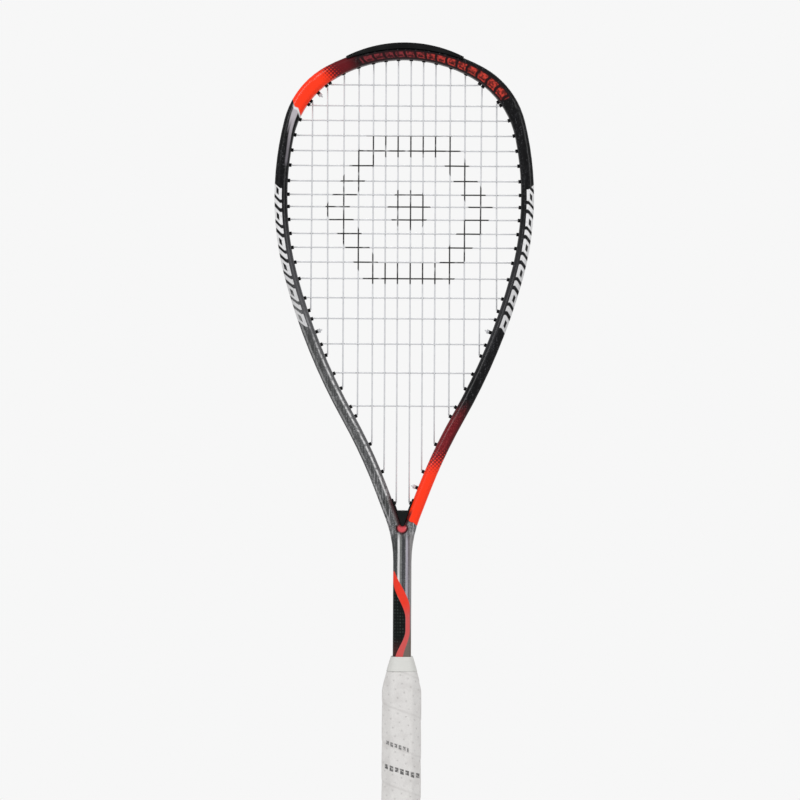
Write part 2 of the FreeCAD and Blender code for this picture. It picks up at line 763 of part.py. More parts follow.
class Route:
    """A string's points with the bend wanted at each."""

    def __init__(self):
        self.points, self.bends = [], []

    def add(self, point, bend=math.inf):
        self.points.append(point)
        self.bends.append(bend)

    def through_barrel(self, key, outward):
        """From the bed out to the channel, or back in."""
        place, row = HOLES[key], row_of(key)
        inside = in_space(line.point(place, turn_offset(place)), row)
        outside = in_space(line.point(place, RUN_LEVEL), row)
        stops = [(inside, size("inside_bend")), (outside, size("string_bend"))]
        for point, bend in (stops if outward else reversed(stops)):
            self.add(point, bend)

    def along_channel(self, first, second):
        """Short straight bits that follow the frame between two holes."""
        one, two = HOLES[first], HOLES[second]
        steps = max(2, math.ceil(abs(two - one) / size("string_step")))
        for step in range(1, steps):
            place = one + (two - one) * step / steps
            self.add(in_space(line.point(place, RUN_LEVEL), row_of(first)))

    def across_bed(self, name, forward):
        spots = woven_points(name)
        for spot in (spots if forward else reversed(spots)):
            self.add(spot, size("weave_bend"))

    def tie(self, key, coming_in):
        """The end that comes in through its own hole and stops past its knot."""
        place, row = HOLES[key], row_of(key)
        end = in_space(line.point(place, barrel_end(place) - KNOT_LENGTH), row)
        outside = in_space(line.point(place, RUN_LEVEL), row)
        if coming_in:
            self.add(outside, size("string_bend"))
            self.add(end)
        else:
            self.add(end)
            self.add(outside, size("string_bend"))


def main_route():
    """From the left knot up and down across the bed to the right knot."""
    route = Route()
    last = MAINS[-1]
    route.tie((-1, "tie", "main"), False)
    route.along_channel((-1, "tie", "main"), (-1, "main_bottom", last))
    upward, previous = True, None
    for number in MAIN_ORDER:
        side, count = (1 if number > 0 else -1), abs(number)
        bottom, top = (side, "main_bottom", count), (side, "main_top", count)
        entry, leave = (bottom, top) if upward else (top, bottom)
        if previous:
            route.along_channel(previous, entry)
        route.through_barrel(entry, False)
        route.across_bed(("main", number), not upward)
        route.through_barrel(leave, True)
        previous, upward = leave, not upward
    route.along_channel(previous, (1, "tie", "main"))
    route.tie((1, "tie", "main"), True)
    return route


def cross_route():
    """From the knot near the tip, side to side down the head, to the knot above the throat."""
    route = Route()
    route.tie((-1, "tie", "cross"), False)
    route.along_channel((-1, "tie", "cross"), (-1, "cross", 1))
    rightward, previous = True, None
    for number in CROSSES:
        ends = [(-1, "cross", number), (1, "cross", number)]
        entry, leave = ends if rightward else ends[::-1]
        if previous:
            route.along_channel(previous, entry)
        route.through_barrel(entry, False)
        route.across_bed(("cross", number), rightward)
        route.through_barrel(leave, True)
        previous, rightward = leave, not rightward
    tie_side = previous[0]
    route.along_channel(previous, (tie_side, "tie", "cross"))
    route.tie((tie_side, "tie", "cross"), True)
    return route


def string_piece(label, route):
    solid, length, smallest = rounded_tube(route.points, route.bends, STRING_RADIUS)
    section = math.pi * STRING_RADIUS ** 2
    print("%s: %.0f mm long, smallest bend %.2f mm, volume / (section x length) = %.5f"
          % (label, length, smallest, solid.Volume / (section * length)))
    obj = doc.addObject("Part::Feature", label)
    obj.Shape = solid
    return finish(obj, label)


main_string = string_piece("main_string", main_route())
cross_string = string_piece("cross_string", cross_route())


def string_knots():
    """Two turns of string round each string end, hard against its barrel."""
    bead = size("knot_bead") / 2
    knots = []
    for key, place in sorted(HOLES.items()):
        if key[1] != "tie":
            continue
        inward = in_space(line.normal(place) * -1)
        turns = []
        for turn in range(2):
            offset = barrel_end(place) - size("knot_gap") - bead - size("knot_pitch") * turn
            spot = in_space(line.point(place, offset), row_of(key))
            ring = doc.addObject("Part::Torus", "knot_turn")
            ring.setExpression("Radius1", "(sizes.string_diameter + sizes.knot_bead) / 2"
                                          " + sizes.knot_clearance")
            ring.setExpression("Radius2", "sizes.knot_bead / 2")
            ring.Placement = Placement(spot, Rotation(Vector(0, 0, 1), inward))
            turns.append(ring)
        knots.append(fuse("knot", turns))
    group = doc.addObject("Part::Compound", "knots")
    group.Links = knots
    return finish(group, "string_knots")


knots = string_knots()


# ---------------------------------------------------------------- handle

GRIP_TOP = line.throat_level - size("visible_shaft")
TAPER_FOOT = GRIP_TOP - size("taper_length")
PALLET_TOP = GRIP_TOP - size("grip_overhang")
CAP_FLOOR, CAP_HEIGHT = FOOT, size("cap_height")
FULL = (size("pallet_width"), size("pallet_depth"))
NECK = (size("shaft_width") + 2 * size("pallet_top_wall"),
        size("beam_depth") + 2 * size("pallet_top_wall"))
FLARED = tuple(side + size("cap_flare") for side in FULL)
BEVEL = size("pallet_bevel")
NECK_BEVEL = (size("edge_radius") + size("pallet_top_wall")) * (2 - math.sqrt(2))
SEAT = tuple(side - 2 * size("cap_wall") for side in FULL)


def eight_sides(level, sides, bevel, grow=0.0):
    """An eight-sided section: a rectangle with its corners cut off."""
    x, y = sides[0] / 2 + grow, sides[1] / 2 + grow
    slant = bevel + grow * (2 - math.sqrt(2))
    corners = [(x, y - slant), (x - slant, y), (slant - x, y), (-x, y - slant),
               (-x, slant - y), (slant - x, -y), (x - slant, -y), (x, slant - y)]
    points = [Vector(a, b, level) for a, b in corners]
    return Part.makePolygon(points + points[:1])


def stack(name, sections):
    """A solid through a few sections, flat-sided between each and the next."""
    obj = doc.addObject("Part::Loft", name)
    wires = []
    for section in sections:
        wire = doc.addObject("Part::Feature", name + "_section")
        wire.Shape = section
        wires.append(wire)
    obj.Sections = wires
    obj.Solid = True
    obj.Ruled = True
    return obj


def pallet_core():
    """The eight-sided handle under the grip: rebated in the cap, tapered at the top."""
    lower = stack("pallet_seat", [eight_sides(CAP_FLOOR, SEAT, BEVEL),
                                  eight_sides(CAP_HEIGHT, SEAT, BEVEL)])
    upper = stack("pallet_run", [eight_sides(CAP_HEIGHT, FULL, BEVEL),
                                 eight_sides(TAPER_FOOT, FULL, BEVEL),
                                 eight_sides(PALLET_TOP, NECK, NECK_BEVEL)])
    return fuse("pallet_core", [lower, upper])


def staple(name, centre, across, inward, leg):
    """A wire staple: a crown and two legs pointing inward."""
    wire, crown = size("staple_wire"), size("staple_crown")
    turn = Placement(centre, Rotation(across, across.cross(inward), inward, "XZY"))
    half = crown / 2
    parts = [box(name + "_crown", Vector(),
                 ["sizes.staple_crown", "sizes.staple_wire", "sizes.staple_wire"])]
    parts[0].Placement = turn.multiply(Placement(Vector(-half, -wire / 2, 0), Rotation()))
    for start in (-half, half - wire):
        part = box(name + "_leg", Vector(), ["sizes.staple_wire", "sizes.staple_wire", leg])
        part.Placement = turn.multiply(Placement(Vector(start, -wire / 2, 0), Rotation()))
        parts.append(part)
    return fuse(name, parts)


def slab(name, side):
    """All the room on one side of the racket's middle plane."""
    far = size("head_width")
    corner = Vector(0 if side > 0 else -far, -far, -1)
    return box(name, corner, ["sizes.head_width", "2 * sizes.head_width", "sizes.overall_length"])


def skirt_depth(level):
    """Depth of the cap's flared skirt at a level."""
    share = (level - CAP_FLOOR) / (CAP_HEIGHT - CAP_FLOOR)
    return FLARED[1] + (FULL[1] - FLARED[1]) * share


def all_staples():
    """Two staples hold the cap to the handle, and one holds the start of the grip to the cap."""
    pair = []
    for side in (-1, 1):
        centre = Vector(side * FULL[0] / 2, 0, size("staple_level"))
        pair.append(staple("cap_staple", centre, Vector(0, 1, 0), Vector(-side, 0, 0),
                           "sizes.staple_leg"))
    centre = Vector(0, (skirt_depth(size("grip_staple_level")) + size("staple_wire")) / 2,
                    size("grip_staple_level"))
    single = staple("grip_staple_wire", centre, Vector(1, 0, 0), Vector(0, -1, 0),
                    "sizes.grip_staple_leg")
    wires = doc.addObject("Part::Compound", "cap_staple_pair")
    wires.Links = pair
    finish(wires, "butt_cap_staples")
    finish(single, "grip_staple")
    together = doc.addObject("Part::Compound", "all_staples")
    together.Links = pair + [single]
    return together


def pallets(staples):
    """The handle in two halves, shaped round the shaft."""
    shaped = cut("pallets_round_shaft", pallet_core(), blank)
    stapled = cut("pallets_stapled", shaped, staples)
    for label, side in (("left_pallet", -1), ("right_pallet", 1)):
        finish(common(label + "_half", [stapled, slab(label + "_side", side)]), label)


def tube_plugs():
    """Foam in the open foot of each tube."""
    for label, side in (("left_tube_plug", -1), ("right_tube_plug", 1)):
        corner = Vector(0 if side > 0 else -FULL[0], -FULL[1], CAP_FLOOR)
        reach = box(label + "_reach", corner,
                    ["sizes.pallet_width", "2 * sizes.pallet_depth", "sizes.plug_length"])
        finish(common(label + "_foam", [tube_hollow, reach]), label)


def butt_cap(staples):
    """A closed end as wide as the grip round it, and a skirt that the grip covers."""
    thick = size("grip_thickness")
    disc = stack("cap_disc", [eight_sides(0, FLARED, BEVEL, thick),
                              eight_sides(CAP_FLOOR, FLARED, BEVEL, thick)])
    skirt = stack("cap_skirt", [eight_sides(CAP_FLOOR, FLARED, BEVEL),
                                eight_sides(CAP_HEIGHT, FULL, BEVEL)])
    hollow = stack("cap_hollow", [eight_sides(CAP_FLOOR, SEAT, BEVEL),
                                  eight_sides(CAP_HEIGHT + 1, SEAT, BEVEL)])
    cup = cut("cap_cup", fuse("cap_solid", [disc, skirt]), hollow)
    finish(cut("cap", cup, staples), "butt_cap")


def grip(staples):
    """A sleeve over the cap's skirt and the pallets, pared thin at the shaft."""
    thick, thin = size("grip_thickness"), size("grip_top_thickness")
    inner = [(CAP_FLOOR, FLARED, BEVEL), (CAP_HEIGHT, FULL, BEVEL), (TAPER_FOOT, FULL, BEVEL),
             (PALLET_TOP, NECK, NECK_BEVEL), (GRIP_TOP, NECK, NECK_BEVEL)]
    outer = [eight_sides(*section, thick) for section in inner[:3]]
    outer.append(eight_sides(*inner[-1], thin))
    lining = [eight_sides(*section) for section in inner]
    sleeve = cut("grip_sleeve", stack("grip_outside", outer), stack("grip_inside", lining))
    finish(cut("grip_stapled", sleeve, staples), "grip")


def finishing_tape():
    """A thin band round the top of the grip, on the same slope."""
    low = GRIP_TOP - size("tape_width")
    share = (low - TAPER_FOOT) / (GRIP_TOP - TAPER_FOOT)
    sides = tuple(a + (b - a) * share for a, b in zip(FULL, NECK))
    thick, thin = size("grip_thickness"), size("grip_top_thickness")
    under = [(low, sides, BEVEL + (NECK_BEVEL - BEVEL) * share, thick + (thin - thick) * share),
             (GRIP_TOP, NECK, NECK_BEVEL, thin)]
    over = [eight_sides(*section[:3], section[3] + size("tape_thickness")) for section in under]
    finish(cut("tape", stack("tape_outside", over),
               stack("tape_inside", [eight_sides(*section) for section in under])), "finishing_tape")


staples = all_staples()
pallets(staples)
tube_plugs()
butt_cap(staples)
grip(staples)
finishing_tape()
doc.recompute()


# ---------------------------------------------------------------- checks and files

for obj in doc.Objects:
    if {"Invalid", "Error"} & set(obj.State):
        raise RuntimeError("%s did not build: %s" % (obj.Name, obj.State))
for obj in finished:
    if obj.Shape.isNull() or not obj.Shape.isValid() or not obj.Shape.Solids:
        raise RuntimeError("%s has no valid solid" % obj.Label)

os.makedirs("parts", exist_ok=True)
for obj in finished:
    obj.Shape.exportStep(os.path.join("parts", obj.Label + ".step"))
    print("%-20s %d solid(s) %.0f mm3" % (obj.Label, len(obj.Shape.Solids), obj.Shape.Volume))
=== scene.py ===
import math
import bpy
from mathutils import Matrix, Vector


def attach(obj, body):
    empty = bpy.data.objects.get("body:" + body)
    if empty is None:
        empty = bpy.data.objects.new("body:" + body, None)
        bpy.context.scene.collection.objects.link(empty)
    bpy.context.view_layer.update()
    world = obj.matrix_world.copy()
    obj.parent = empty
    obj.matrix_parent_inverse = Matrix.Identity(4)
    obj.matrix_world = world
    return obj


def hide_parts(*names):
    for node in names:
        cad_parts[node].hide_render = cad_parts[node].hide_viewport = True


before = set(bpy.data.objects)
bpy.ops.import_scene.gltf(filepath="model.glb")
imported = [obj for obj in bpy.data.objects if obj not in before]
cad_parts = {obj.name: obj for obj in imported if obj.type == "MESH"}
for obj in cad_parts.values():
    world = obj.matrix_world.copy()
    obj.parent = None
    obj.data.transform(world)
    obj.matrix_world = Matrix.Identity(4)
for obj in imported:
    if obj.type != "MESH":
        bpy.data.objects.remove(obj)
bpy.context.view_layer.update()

# Looks of a squash racket. The model is in metres with +Z along the racket, +X across the head and
# +Y through it, away from the camera. Sizes of patterns and of the two modelled pieces are in
# millimetres. Lights, floor and camera are in metres.

MM = 0.001


def colour(red, green, blue):
    """A display colour, 0 to 255 a channel, as the linear values that shaders take."""
    def linear(value):
        share = value / 255
        return share / 12.92 if share <= 0.04045 else ((share + 0.055) / 1.055) ** 2.4
    return (linear(red), linear(green), linear(blue), 1.0)


BLACK = colour(9, 9, 11)
SOFT_BLACK = colour(30, 30, 32)
GUNMETAL = colour(106, 107, 108)
SILVER = colour(186, 186, 188)
WHITE = colour(232, 232, 232)
RED = colour(255, 58, 26)
DARK_RED = colour(104, 18, 26)
DULL_RED = colour(186, 56, 56)
MAROON = colour(48, 16, 20)


# ---------------------------------------------------------------- shader arithmetic

class Field:
    """A number worked out at every point of a surface, written as ordinary arithmetic."""

    def __init__(self, shader, socket):
        self.shader, self.socket = shader, socket

    def math(self, operation, *others, clamp=False):
        node = self.shader.node("ShaderNodeMath")
        node.operation = operation
        node.use_clamp = clamp
        for slot, value in zip(node.inputs, (self,) + others):
            self.shader.feed(slot, value)
        return Field(self.shader, node.outputs[0])

    def __add__(self, other):
        return self.math("ADD", other)

    def __sub__(self, other):
        return self.math("SUBTRACT", other)

    def __rsub__(self, other):
        return (self * -1) + other

    def __mul__(self, other):
        return self.math("MULTIPLY", other)

    def __truediv__(self, other):
        return self.math("DIVIDE", other)

    def size(self):
        """The value without its sign."""
        return self.math("ABSOLUTE")

    def share(self):
        """What is left above the whole number below."""
        return self.math("FRACT")

    def at_most(self, other):
        return self.math("MINIMUM", other)

    def at_least(self, other):
        return self.math("MAXIMUM", other)

    def above(self, level, soft):
        """0 below a level and 1 above it, with a soft step."""
        return ((self - level) / soft + 0.5).math("ADD", 0.0, clamp=True)

    def between(self, low, high, soft):
        """1 from one level to the other and 0 outside them, with soft steps."""
        return self.above(low, soft) * (1 - self.above(high, soft))

    def ramp(self, low, high):
        """Eases from 0 at one level to 1 at another, which may be the lower one."""
        node = self.shader.node("ShaderNodeMapRange")
        node.interpolation_type = "SMOOTHSTEP"
        for name, value in (("Value", self), ("From Min", low), ("From Max", high)):
            self.shader.feed(node.inputs[name], value)
        return Field(self.shader, node.outputs["Result"])


# a mix node's colour sockets share their names with its other kinds, so they go by number
MIX_SHARE, MIX_FIRST, MIX_SECOND, MIX_RESULT = 0, 6, 7, 2


class Shader:
    """A procedural material: one principled shader and the fields that drive it."""

    def __init__(self, name):
        self.material = bpy.data.materials.new(name)
        self.material.use_nodes = True
        self.tree = self.material.node_tree
        self.surface = self.tree.nodes["Principled BSDF"]

    def node(self, kind):
        return self.tree.nodes.new(kind)

    def feed(self, socket, value):
        """Join a field or an output to an input, or set the input to a plain value."""
        if isinstance(value, Field):
            self.tree.links.new(value.socket, socket)
        elif isinstance(value, bpy.types.NodeSocket):
            self.tree.links.new(value, socket)
        else:
            socket.default_value = value

    def split(self, vector):
        """The three parts of a vector, each as a field."""
        node = self.node("ShaderNodeSeparateXYZ")
        self.feed(node.inputs[0], vector)
        return [Field(self, out) for out in node.outputs]

    def join(self, *parts):
        """One vector made of three fields."""
        node = self.node("ShaderNodeCombineXYZ")
        for socket, part in zip(node.inputs, parts):
            self.feed(socket, part)
        return node.outputs[0]

    def position(self):
        """The point on the racket in millimetres: x, y, z, and the three as one vector."""
        metres = self.split(self.node("ShaderNodeTexCoord").outputs["Object"])
        x, y, z = [part * (1 / MM) for part in metres]
        return x, y, z, self.join(x, y, z)

    def facing(self):
        """The way the surface faces, as x, y and z."""
        return self.split(self.node("ShaderNodeTexCoord").outputs["Normal"])

    def surface_map(self):
        """The two coordinates that a modelled piece carries, in millimetres."""
        return self.split(self.node("ShaderNodeTexCoord").outputs["UV"])[:2]

    def noise(self, where, scale, detail, roughness=0.5):
        """Cloudy noise. Over a point in millimetres, the scale is about its spots to the millimetre."""
        node = self.node("ShaderNodeTexNoise")
        values = {"Vector": where, "Scale": scale, "Detail": detail, "Roughness": roughness}
        for name, value in values.items():
            self.feed(node.inputs[name], value)
        return Field(self, node.outputs[0])

    def cells(self, where, scale, output="Distance"):
        """Irregular cells: the distance to the middle of the nearest, or its own random colour."""
        node = self.node("ShaderNodeTexVoronoi")
        self.feed(node.inputs["Vector"], where)
        self.feed(node.inputs["Scale"], scale)
        return node.outputs[output]

    def mix(self, first, second, share):
        """From the first colour at a share of 0 to the second at 1."""
        node = self.node("ShaderNodeMix")
        node.data_type = "RGBA"
        self.feed(node.inputs[MIX_FIRST], first)
        self.feed(node.inputs[MIX_SECOND], second)
        self.feed(node.inputs[MIX_SHARE], share)
        return node.outputs[MIX_RESULT]

    def bump(self, height, distance, strength):
        """Relief: over a height field from 0 to 1 the surface rises by the distance, in millimetres."""
        node = self.node("ShaderNodeBump")
        self.feed(node.inputs["Height"], height)
        node.inputs["Distance"].default_value = distance * MM
        node.inputs["Strength"].default_value = strength
        self.feed(self.surface.inputs["Normal"], node.outputs[0])

    def finish(self, **values):
        """Set the principled shader's inputs, named as Blender names them, in lower case with _."""
        for name, value in values.items():
            title = name.replace("_", " ").title().replace("Ior", "IOR")
            self.feed(self.surface.inputs[title], value)
        return self.material


def wear(material, *node_names):
    """Give CAD nodes their finished material."""
    for name in node_names:
        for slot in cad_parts[name].material_slots:
            slot.material = material


# ---------------------------------------------------------------- the frame's paint

# levels are heights above the butt; angles are in degrees from straight up
HEAD_MIDDLE = 540.0         # level of the point that the tube's outer side faces away from
CROWN_MIDDLE = 600.0        # level of the point that angles are taken about
CROWN_BLOCKS = (-27.0, 64.0)    # angles to the right
BLOCK_PITCH = 6.3415        # in degrees
BARS = (452.0, 568.0)       # levels of the printed bars down each side of the head
BAR_PITCH = 20.8
DOT_PITCH = 3.1
DOT_REACH = 0.66            # radius of a full-grown dot, in pitches of the grid
DARK_CORNER = (26, 37)      # angles to the left, from no dark red to all of it
RED_CORNER = (48.0, 70.0)   # angles to the left: the solid red
DARK_LEG = (394, 366)       # levels on the right leg, from no dark red to all of it
RED_LEG = (293.5, 340.0)    # levels of the solid red
GUNMETAL_LEVELS = (505, 455)    # on the left side, from black to gunmetal
HIGHLIGHT_LEVELS = (586, 636)      # levels of the painted highlight
FORK = 290.2                # level of the bottom of the V
V_SLOPE = 0.384             # how fast the V opens, to each side
V_HALF_GAP = 1.3            # half the V's width at its bottom
SPOT = (-0.5, 288.6)        # middle of the spot under the V: across and level
SPOT_RADIUS, RIM_RADIUS = 3.5, 5.2
SHAFT_TOP = 279.0           # level where the legs have run together
SHAFT_HALF = 7.5            # half the shaft's width
RIBBON_TOP = 253            # level
STRIPES_END = 206           # level where the stripes give way to the ribbon
# the light stripes are painted highlights of the glossy shaft, the darker ones its own tone
SHAFT_STRIPES = [           # colour, from, to and softness, across the shaft from left to right
    (colour(54, 56, 56), -20.0, -4.0, 0.5),
    (colour(226, 226, 226), -3.9, -2.2, 0.4),
    (colour(112, 114, 112), -2.1, -0.5, 0.5),
    (colour(54, 55, 58), -0.4, 2.4, 0.5),
    (colour(170, 166, 176), 2.7, 4.5, 0.5),
    (colour(108, 98, 104), 4.6, 5.9, 0.5),
    (colour(146, 143, 143), 5.9, 20.0, 0.4),
]
GREEN_BLACK = colour(7, 10, 9)


def dots(x, z, amount):
    """A halftone: dots on a slanted grid that grow with the amount, 0 to 1."""
    along, across = (x + z) / DOT_PITCH, (x - z) / DOT_PITCH
    a, b = along.share() - 0.5, across.share() - 0.5
    distance = (a * a + b * b).math("SQRT")
    return 1 - distance.above(amount * DOT_REACH, 0.12)


def tube_across(shader, x, z):
    """Across the tube's face by the way it faces: 1 at its outer side, -1 at its inner side."""
    nx, _, nz = shader.facing()
    lean = (nx * nx + nz * nz).math("SQRT")
    outward = (nx * x + nz * (z - HEAD_MIDDLE)).math("SIGN")
    return lean * outward


class FramePaint:
    """The frame's finish, worked out from where a point is and which way it faces.

    Coats of colour are laid one over another. A coat's mask is 1 where it covers and 0 where it
    leaves the coats below; the plain numbers that masks are multiplied by are how much they cover.
    """

    def __init__(self):
        self.shader = Shader("frame_paint")
        self.x, self.y, self.z, self.point = self.shader.position()
        self.across = tube_across(self.shader, self.x, self.z)
        self.right = self.x.above(0.0, 0.2)
        self.left = 1 - self.right
        # degrees from straight up, to the right
        self.turn = self.x.math("ARCTAN2", self.z - CROWN_MIDDLE) * (180 / math.pi)
        self.flakes = self.shader.split(self.shader.cells(self.point, 1.7, "Color"))[0]
        self.cloud = self.shader.noise(self.point, 0.35, 3.0)
        self.colour = BLACK

    def coat(self, tone, mask):
        self.colour = self.shader.mix(self.colour, tone, mask)

    def streaks(self, scale):
        """Long thin marks that run along the legs and the shaft."""
        stretched = self.shader.join(self.x * scale, self.y * scale, self.z * 0.04)
        return self.shader.noise(stretched, 1.0, 3.0)

    def ground(self):
        """A black head over gunmetal legs and shaft, with carbon flakes that catch the light."""
        flecks = self.flakes.above(0.86, 0.1) * self.streaks(0.9).ramp(0.45, 0.65)
        self.coat(colour(78, 78, 82), flecks * 0.8 + self.cloud.ramp(0.5, 0.8) * 0.15)

        lit = self.flakes.above(0.84, 0.1) * 0.45 + self.cloud.ramp(0.45, 0.75) * 0.2
        dull = (1 - self.flakes.above(0.22, 0.1)) * 0.6
        metal = self.shader.mix(self.shader.mix(GUNMETAL, SILVER, lit), SOFT_BLACK, dull)
        below_red = 1 - self.z.above(RED_LEG[0], 3.0)
        self.coat(metal, (self.left * self.z.ramp(*GUNMETAL_LEVELS)).at_least(below_red))

        inner = (1 - self.across.above(-0.05, 0.25)) * self.z.between(430, 530, 40)
        self.coat(colour(74, 74, 77), inner * (self.left * 0.5 + 0.3))

    def left_leg(self):
        """Painted light and shade across the left leg, set by the way it faces. Outside in: a dark edge
        of painted shade, a streaky light band of painted highlight, a dark middle, a broken light line of
        painted highlight, grey.
        """
        leg = self.left * self.z.between(SHAFT_TOP + 12, 470, 20)
        streak = self.streaks(0.8).ramp(0.42, 0.62)
        broken = self.cloud.ramp(0.38, 0.54) * 0.75 + 0.2
        # bands of painted light and shade, each set by the way the surface faces
        light_and_shade_bands = (
            (colour(56, 57, 57), self.across.between(-0.08, 0.42, 0.2) * ((1 - streak) * 0.5 + 0.4)),
            (colour(150, 151, 150), self.across.between(0.45, 0.74, 0.14) * streak * 0.8),
            (colour(214, 214, 214),
             self.across.between(-0.46, -0.2, 0.12) * broken * (1 - self.z.above(440, 60))),
            (colour(86, 86, 88), (1 - self.across.above(-0.62, 0.16)) * 0.8),
            (colour(48, 48, 50), self.across.above(0.8, 0.14) * 0.85),
        )
        for tone, mask in light_and_shade_bands:
            self.coat(tone, leg * mask)

    def fork_streaks(self):
        """Silver streaks of painted highlight, and dark streaks, where the two legs run together into the
        shaft.
        """
        below_red = 1 - self.z.above(RED_LEG[0], 2)
        zone = self.z.between(SHAFT_TOP - 2, 330, 16) * (self.left + below_red).at_most(1)
        streak = self.streaks(1.2)
        # the silver streaks are painted highlights
        self.coat(colour(196, 194, 197), zone * streak.ramp(0.52, 0.62) * 0.6)
        self.coat(SOFT_BLACK, zone * (1 - streak.ramp(0.36, 0.44)) * 0.6)

    def painted_highlight_line(self):
        """A painted highlight: a silver line below the red corner that greys as it drifts down to the
        tube's inner side.
        """
        zone = self.left * self.z.between(*HIGHLIGHT_LEVELS, 5)
        middle = self.z.ramp(636, 592) * -0.34 - 0.04
        tone = self.shader.mix(colour(112, 108, 114), colour(188, 182, 188), self.z.ramp(592, 628))
        self.coat(tone, zone * (self.across - middle).between(-0.3, 0.18, 0.14) * 0.9)

    def side_bars(self):
        """Slanted bars, wide slotted ones and narrow ones by turns, down the outer part of both sides."""
        slant = self.across * (self.right - self.left) * 5
        low_end, top_end = self.z + slant, self.z - self.across * 4
        zone = low_end.above(BARS[0], 0.4) * (1 - top_end.above(BARS[1] - 2, 0.4))
        zone = zone * self.across.between(-0.06, 1.1, 0.06)
        step = ((low_end - BARS[0]) / BAR_PITCH).share()
        wide = step.between(0.04, 0.54, 0.03)
        narrow = step.between(0.7, 0.9, 0.03)
        slot = step.between(0.16, 0.4, 0.03) * self.across.between(0.2, 0.66, 0.06)
        worn = self.shader.noise(self.point, 0.5, 3.0).ramp(0.3, 0.5) * 0.2 + 0.8
        tone = self.shader.mix(colour(206, 206, 207), colour(230, 230, 231), self.z.ramp(480, 530))
        self.coat(tone, zone * (wide + narrow) * (1 - slot) * worn)

    def crown_blocks(self):
        """Thin-lined slanted blocks over the crown, brighter towards the right."""
        zone = self.turn.between(*CROWN_BLOCKS, 1.0) * (1 - self.across.above(0.3, 0.15))
        self.coat(colour(38, 12, 16), zone * 0.9)
        cell = ((self.turn + self.across * 1.951) / BLOCK_PITCH).share()
        outline = cell.between(0.08, 0.84, 0.06) * self.across.between(-0.62, 0.08, 0.1)
        hollow = cell.between(0.2, 0.72, 0.06) * self.across.between(-0.42, -0.14, 0.08)
        broken = self.shader.noise(self.point, 0.45, 3.0).ramp(0.38, 0.6) * 0.8 + 0.2
        tone = self.shader.mix(colour(122, 44, 50), colour(196, 62, 50), self.turn.ramp(-8, 40))
        self.coat(tone, zone * outline * (1 - hollow * 0.8) * broken)

    def red_corner(self):
        """Red on the left of the crown, breaking into dots upwards, with a light edge below."""
        start, end = RED_CORNER
        over = self.turn * -1
        end_line = over + self.across * 3.2
        fill = over.above(24, 6) * (1 - end_line.above(end, 0.4))
        self.coat(DARK_RED, fill * over.ramp(*DARK_CORNER) * 0.85)
        fade = over.ramp(36, start + 4)
        speckle = dots(self.x, self.z, fade) * fade.above(0.05, 0.05)
        solid = over.above(start + 3, 3.0)
        self.coat(self.shader.mix(colour(150, 34, 34), RED, fade), fill * speckle.at_least(solid))
        edge = end_line.between(end, end + 1.1, 0.5)
        self.coat(WHITE, edge * (1 - self.across.above(0.25, 0.5)) * 0.8)

    def red_leg(self):
        """Red on the right leg, cut off on a slant below, that breaks upwards into dots over dark red."""
        start, end = RED_LEG
        fill = self.right * (self.z + self.across * 3).above(start, 0.6)
        shaded = 1 - self.across.above(0.5, 0.8) * 0.4
        self.coat(DARK_RED, fill * self.z.ramp(*DARK_LEG) * shaded)
        specks = self.flakes.above(0.6, 0.2) * (1 - self.across.above(0.3, 0.3))
        self.coat(colour(150, 56, 60), fill * self.z.ramp(396, 376) * specks * 0.5)
        fade = self.z.ramp(363, end - 12)
        speckle = dots(self.x, self.z, fade) * fade.above(0.04, 0.05)
        solid = 1 - self.z.above(end - 7, 6)
        self.coat(self.shader.mix(DULL_RED, RED, fade), fill * speckle.at_least(solid))

    def fork(self):
        """A maroon lining along the V, and under it a light red spot with a dark rim."""
        half_gap = (self.z - FORK) * V_SLOPE + V_HALF_GAP
        beside_gap = 1 - (self.x.size() - half_gap).above(self.left * 0.9 + 2.0, 0.9)
        lining = beside_gap * self.z.between(FORK - 8, 313, 4)
        self.coat(MAROON, lining * (1 - self.right * self.z.above(302, 4)) * 0.9)

        sideways, up = self.x - SPOT[0], self.z - SPOT[1]
        out = (sideways * sideways + up * up).math("SQRT")
        self.coat(colour(52, 14, 20), (1 - out.above(RIM_RADIUS, 0.7)) * (1 - self.z.above(FORK + 1, 2)))
        self.coat(colour(206, 78, 84), (1 - out.above(SPOT_RADIUS, 1.2)) * (1 - self.z.above(FORK, 3)))

    def shaft(self):
        """Stripes down the shaft, the light ones painted highlights, and a red ribbon that winds across
        them to the grip.
        """
        lane = (1 - self.z.above(SHAFT_TOP + 3, 8)) * self.z.above(STRIPES_END, 14)
        # streaks that break up the stripes, the painted highlights among them
        worn = self.streaks(1.6).ramp(0.25, 0.6) * 0.5 + 0.45
        for tone, low, high, soft in SHAFT_STRIPES:
            self.coat(tone, lane * self.x.between(low, high, soft) * worn)

        # going down, each edge of the ribbon moves to the right from the shaft's left side, then back
        back = self.z.ramp(205, 180)
        left_edge = self.z.ramp(246, 214) * 10.4 - back * 8.5 - SHAFT_HALF
        right_edge = self.z.ramp(260, 222) * 14 - back * 6 - SHAFT_HALF
        inside_left = (self.x - left_edge).above(0, 0.4)
        past_right = (self.x - right_edge).above(0, 0.4)
        below_start = 1 - self.z.above(RIBBON_TOP, 2)

        threads = (self.z / 2.6).share().between(0.0, 0.45, 0.2)
        threads = threads * (self.x / 2.2).share().between(0.1, 0.6, 0.2)
        lit = threads * self.cloud.ramp(0.35, 0.6) * 0.6
        weave = self.shader.mix(GREEN_BLACK, colour(66, 74, 70), lit)
        left_of = (1 - inside_left) * below_start
        self.coat(weave, left_of)
        self.coat(colour(70, 34, 32), left_of * self.z.ramp(200, 186) * 0.7)
        self.coat(colour(112, 100, 92), past_right * (1 - self.z.above(205, 14)) * 0.9)
        tone = self.shader.mix(colour(206, 84, 82), colour(232, 58, 40), self.z.ramp(214, 228))
        self.coat(tone, inside_left * (1 - past_right) * below_start)

